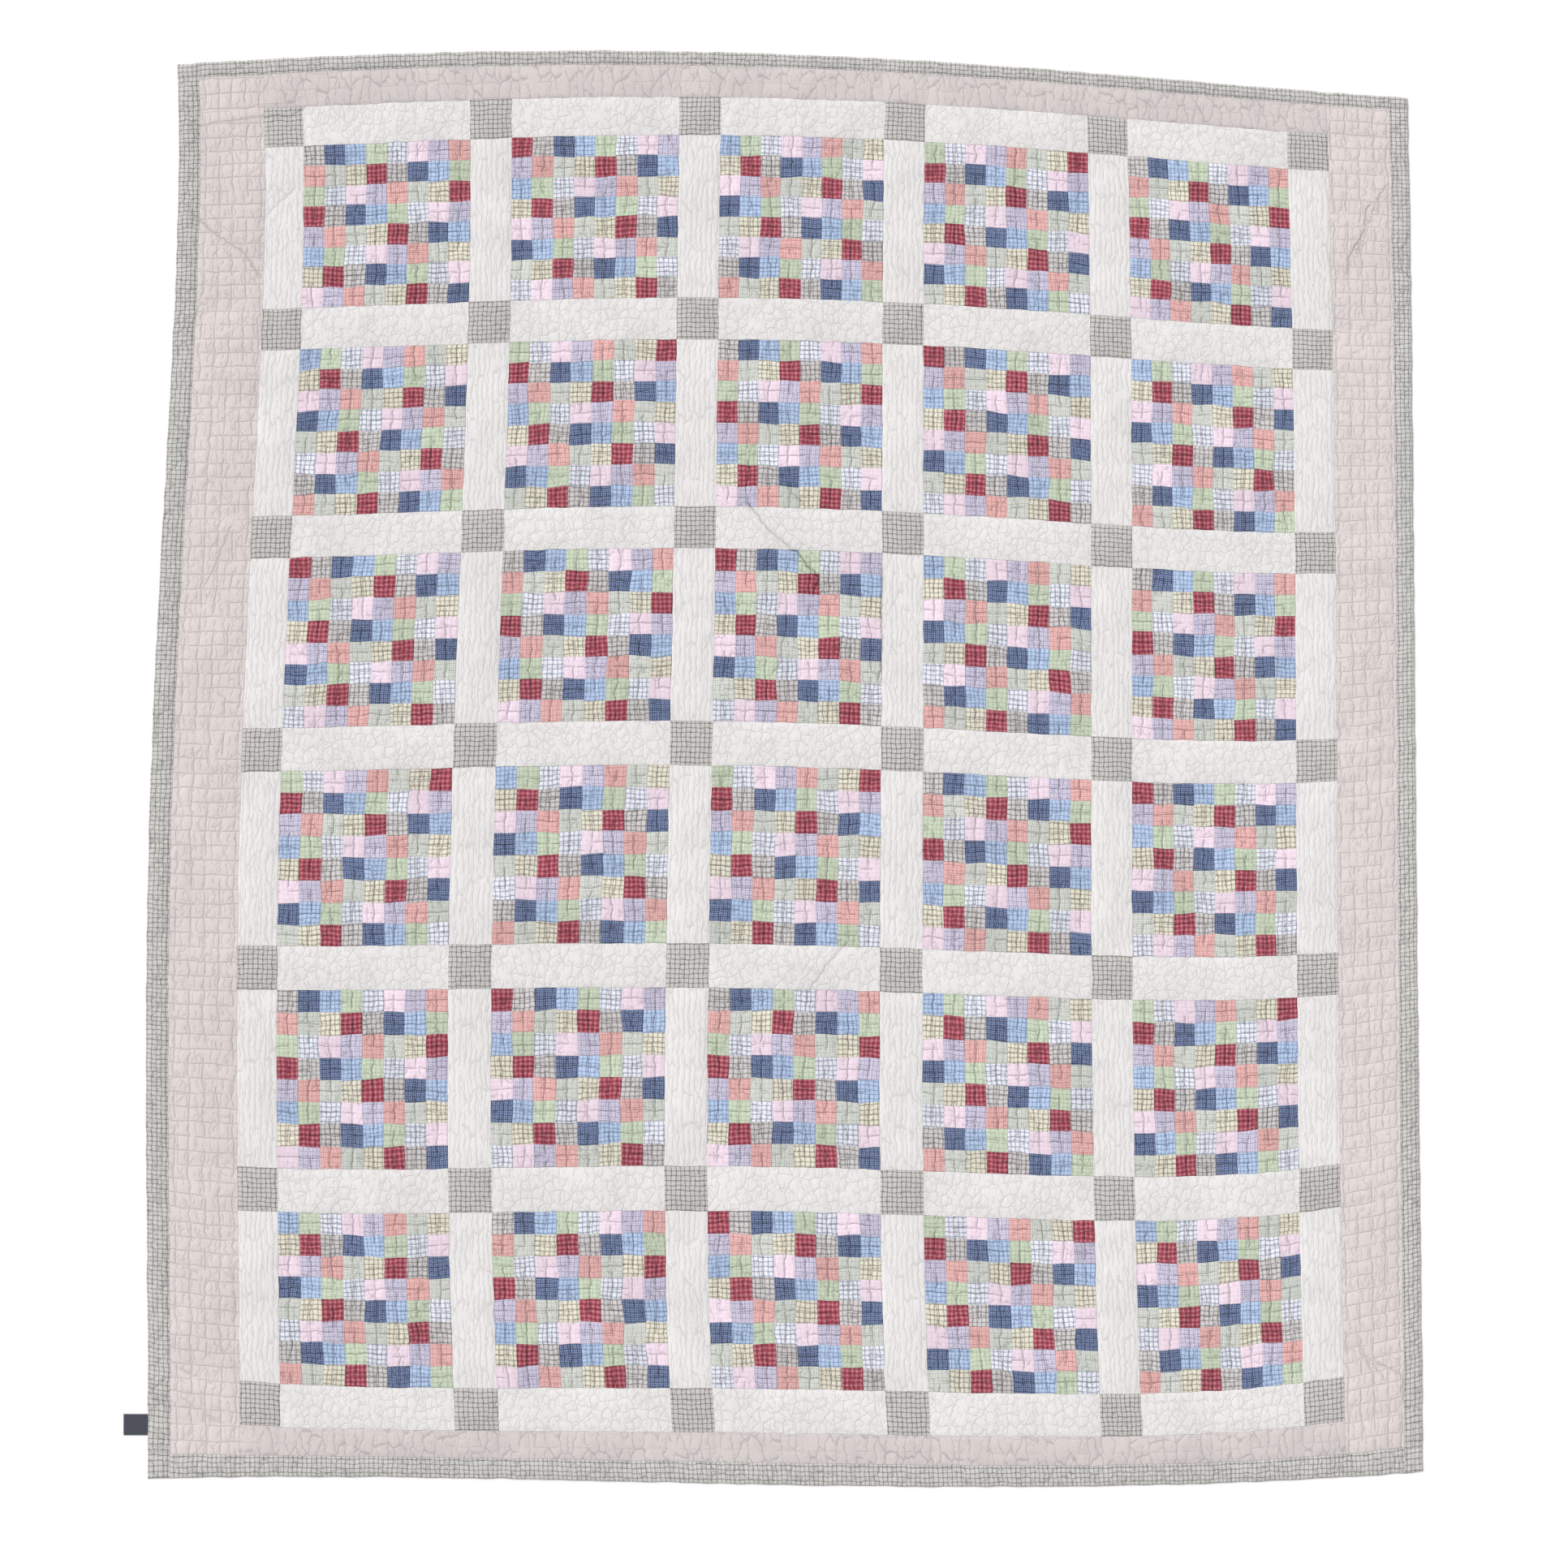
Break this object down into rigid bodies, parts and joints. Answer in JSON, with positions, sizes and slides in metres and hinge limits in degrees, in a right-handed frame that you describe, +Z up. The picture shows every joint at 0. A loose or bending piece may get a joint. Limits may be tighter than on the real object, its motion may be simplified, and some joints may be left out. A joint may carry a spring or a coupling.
{
  "type": "patchwork quilt",
  "caption": "Pieced cotton bed quilt spread out flat: blocks of small square patches in off-white sashing, a dusty pink border and a check binding.",
  "frame": {"origin": "on the surface the quilt lies on, under the middle of its outline, the label tab included", "axes": "+X to the right edge, +Y to the top edge, +Z up from the surface, towards the pieced face"},
  "size_m": [2.327, 2.5712, 0.0063],
  "materials": {
    "pieced_cotton": "matte yarn-dyed cotton patches, washed and crinkled",
    "white_sashing": "matte off-white cotton with grey check corner squares",
    "pink_border": "matte dusty pink cotton, quilted in inch squares",
    "plaid_binding": "matte pale cotton with a fine dark grey check",
    "navy_label": "woven satin ribbon, blank"
  },
  "bodies": {
    "root": {"block_1_1": "pieced_cotton", "block_1_2": "pieced_cotton", "block_1_3": "pieced_cotton", "block_1_4": "pieced_cotton", "block_1_5": "pieced_cotton", "block_2_1": "pieced_cotton", "block_2_2": "pieced_cotton", "block_2_3": "pieced_cotton", "block_2_4": "pieced_cotton", "block_2_5": "pieced_cotton", "block_3_1": "pieced_cotton", "block_3_2": "pieced_cotton", "block_3_3": "pieced_cotton", "block_3_4": "pieced_cotton", "block_3_5": "pieced_cotton", "block_4_1": "pieced_cotton", "block_4_2": "pieced_cotton", "block_4_3": "pieced_cotton", "block_4_4": "pieced_cotton", "block_4_5": "pieced_cotton", "block_5_1": "pieced_cotton", "block_5_2": "pieced_cotton", "block_5_3": "pieced_cotton", "block_5_4": "pieced_cotton", "block_5_5": "pieced_cotton", "block_6_1": "pieced_cotton", "block_6_2": "pieced_cotton", "block_6_3": "pieced_cotton", "block_6_4": "pieced_cotton", "block_6_5": "pieced_cotton", "sash_row_1": "white_sashing", "sash_row_2": "white_sashing", "sash_row_3": "white_sashing", "sash_row_4": "white_sashing", "sash_row_5": "white_sashing", "sash_row_6": "white_sashing", "sash_row_7": "white_sashing", "border_left": "pink_border", "border_right": "pink_border", "border_top": "pink_border", "border_bottom": "pink_border", "binding_left": "plaid_binding", "binding_right": "plaid_binding", "binding_top": "plaid_binding", "binding_bottom": "plaid_binding", "label": "navy_label"}
  },
  "joints": []
}
